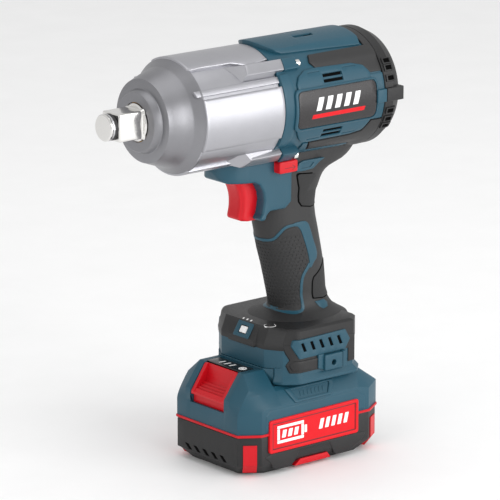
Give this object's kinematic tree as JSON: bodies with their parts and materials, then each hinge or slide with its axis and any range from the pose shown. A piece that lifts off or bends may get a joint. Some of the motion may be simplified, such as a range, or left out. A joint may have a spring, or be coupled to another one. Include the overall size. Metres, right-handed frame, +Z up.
{
  "type": "cordless impact wrench",
  "caption": "High-torque cordless impact wrench with a square drive, pistol grip, trigger, direction slider and slide-on battery pack.",
  "frame": {"origin": "on the surface that the battery stands on, under the middle of the tool's length and width", "axes": "+Z up; -X towards the nose and the square drive; +Y to the right of a user who holds the tool"},
  "size_m": [0.235, 0.0912, 0.296],
  "materials": {
    "teal_plastic": "fine moulded texture, satin",
    "rubber_grip": "soft overmoulded rubber, matte",
    "black_plastic": "fine moulded texture, matte",
    "red_plastic": "smooth satin",
    "cast_aluminium": "bead-blasted die casting",
    "bright_steel": "machined, bright nickel",
    "dark_steel": "phosphated, dark",
    "bronze": "sintered bronze",
    "copper_wire": "enamelled winding wire",
    "cell_sleeves": "printed plastic sleeve over steel can",
    "circuit_board": "solder mask",
    "clear_lens": "clear, polished"
  },
  "bodies": {
    "tool": {"housing_left": "teal_plastic", "housing_right": "teal_plastic", "housing_screw_1": "dark_steel", "housing_screw_2": "dark_steel", "housing_screw_3": "dark_steel", "housing_screw_4": "dark_steel", "grip_left": "rubber_grip", "grip_right": "rubber_grip", "upper_bumper": "rubber_grip", "badge_left": "black_plastic", "badge_right": "black_plastic", "hammer_case": "cast_aluminium", "case_screw_upper_left": "bright_steel", "case_screw_upper_right": "bright_steel", "case_screw_lower_left": "bright_steel", "case_screw_lower_right": "bright_steel", "anvil_bushing": "bronze", "rear_cap": "black_plastic", "cap_screw_left": "dark_steel", "cap_screw_right": "dark_steel", "stator_core": "dark_steel", "stator_windings": "copper_wire", "rear_bearing": "bright_steel", "spindle_bearing": "bright_steel", "gearbox_plate": "cast_aluminium", "ring_gear": "dark_steel", "switch_body": "black_plastic", "trigger_spring": "bright_steel", "lamp_lens": "clear_lens", "motor_controller": "cast_aluminium", "terminal_block": "black_plastic"},
    "rotor": {"rotor_shaft": "bright_steel", "rotor_core": "dark_steel", "cooling_fan": "black_plastic"},
    "spindle": {"spindle": "bright_steel", "cam_ball_1": "bright_steel", "cam_ball_2": "bright_steel", "hammer_spring": "bright_steel"},
    "planet_1": {"planet_gear_1": "dark_steel"},
    "planet_2": {"planet_gear_2": "dark_steel"},
    "planet_3": {"planet_gear_3": "dark_steel"},
    "spring_washer": {"spring_washer": "bright_steel"},
    "hammer": {"hammer": "dark_steel"},
    "anvil": {"anvil": "bright_steel", "o_ring": "rubber_grip", "friction_ring": "bright_steel"},
    "trigger": {"trigger": "red_plastic"},
    "direction_button": {"direction_button": "red_plastic"},
    "mode_button": {"mode_button": "black_plastic"},
    "battery": {"battery_lower_case": "black_plastic", "battery_upper_case": "teal_plastic", "battery_gasket": "red_plastic", "gauge_panel": "black_plastic", "battery_label_left": "red_plastic", "battery_label_right": "red_plastic", "cell_pack": "cell_sleeves", "battery_board": "circuit_board", "latch_spring": "bright_steel"},
    "battery_latch": {"battery_latch": "red_plastic"},
    "gauge_button": {"gauge_button": "clear_lens"}
  },
  "joints": [
    {"name": "rotor_spin", "type": "hinge", "parent": "tool", "child": "rotor", "pos_m": [0, 0, 0.253], "axis": [-1, 0, 0], "continuous": true},
    {"name": "spindle_spin", "type": "hinge", "parent": "tool", "child": "spindle", "pos_m": [0, 0, 0.253], "axis": [-1, 0, 0], "continuous": true},
    {"name": "planet_1_spin", "type": "hinge", "parent": "spindle", "child": "planet_1", "pos_m": [-0.0033, 0, 0.2665], "axis": [-1, 0, 0], "continuous": true},
    {"name": "planet_2_spin", "type": "hinge", "parent": "spindle", "child": "planet_2", "pos_m": [-0.0033, -0.01169, 0.24625], "axis": [-1, 0, 0], "continuous": true},
    {"name": "planet_3_spin", "type": "hinge", "parent": "spindle", "child": "planet_3", "pos_m": [-0.0033, 0.01169, 0.24625], "axis": [-1, 0, 0], "continuous": true},
    {"name": "anvil_spin", "type": "hinge", "parent": "tool", "child": "anvil", "pos_m": [0, 0, 0.253], "axis": [-1, 0, 0], "continuous": true},
    {"name": "hammer_retract", "type": "slide", "parent": "spindle", "child": "spring_washer", "axis": [1, 0, 0], "range_m": [0, 0.0085], "stiffness_N_per_m": 12000, "springref_m": -0.004, "deforming": ["hammer_spring"]},
    {"name": "hammer_turn", "type": "hinge", "parent": "spring_washer", "child": "hammer", "pos_m": [0, 0, 0.253], "axis": [-1, 0, 0], "range_deg": [-40, 0]},
    {"name": "trigger_pull", "type": "slide", "parent": "tool", "child": "trigger", "axis": [1, 0, 0], "range_m": [0, 0.007], "stiffness_N_per_m": 900, "springref_m": -0.003, "deforming": ["trigger_spring"]},
    {"name": "direction_select", "type": "slide", "parent": "tool", "child": "direction_button", "axis": [0, 1, 0], "range_m": [-0.004, 0.004]},
    {"name": "mode_press", "type": "slide", "parent": "tool", "child": "mode_button", "axis": [0, 0, -1], "range_m": [0, 0.0008], "stiffness_N_per_m": 1200, "springref_m": -0.0008},
    {"name": "battery_slide", "type": "slide", "parent": "tool", "child": "battery", "axis": [-1, 0, 0], "range_m": [0, 0.08]},
    {"name": "latch_press", "type": "slide", "parent": "battery", "child": "battery_latch", "axis": [0, 0, -1], "range_m": [0, 0.004], "stiffness_N_per_m": 1500, "springref_m": -0.0015, "deforming": ["latch_spring"]},
    {"name": "gauge_press", "type": "slide", "parent": "battery", "child": "gauge_button", "axis": [0, 0, -1], "range_m": [0, 0.0008], "stiffness_N_per_m": 1200, "springref_m": -0.0008}
  ],
  "couplings": [
    {"joint": "spindle_spin", "follows": "rotor_spin", "ratio": 0.22222},
    {"joint": "anvil_spin", "follows": "rotor_spin", "ratio": 0.22222},
    {"joint": "planet_1_spin", "follows": "rotor_spin", "ratio": -0.62222},
    {"joint": "planet_2_spin", "follows": "rotor_spin", "ratio": -0.62222},
    {"joint": "planet_3_spin", "follows": "rotor_spin", "ratio": -0.62222},
    {"joint": "hammer_turn", "follows": "hammer_retract", "rad_per_m": -82}
  ]
}
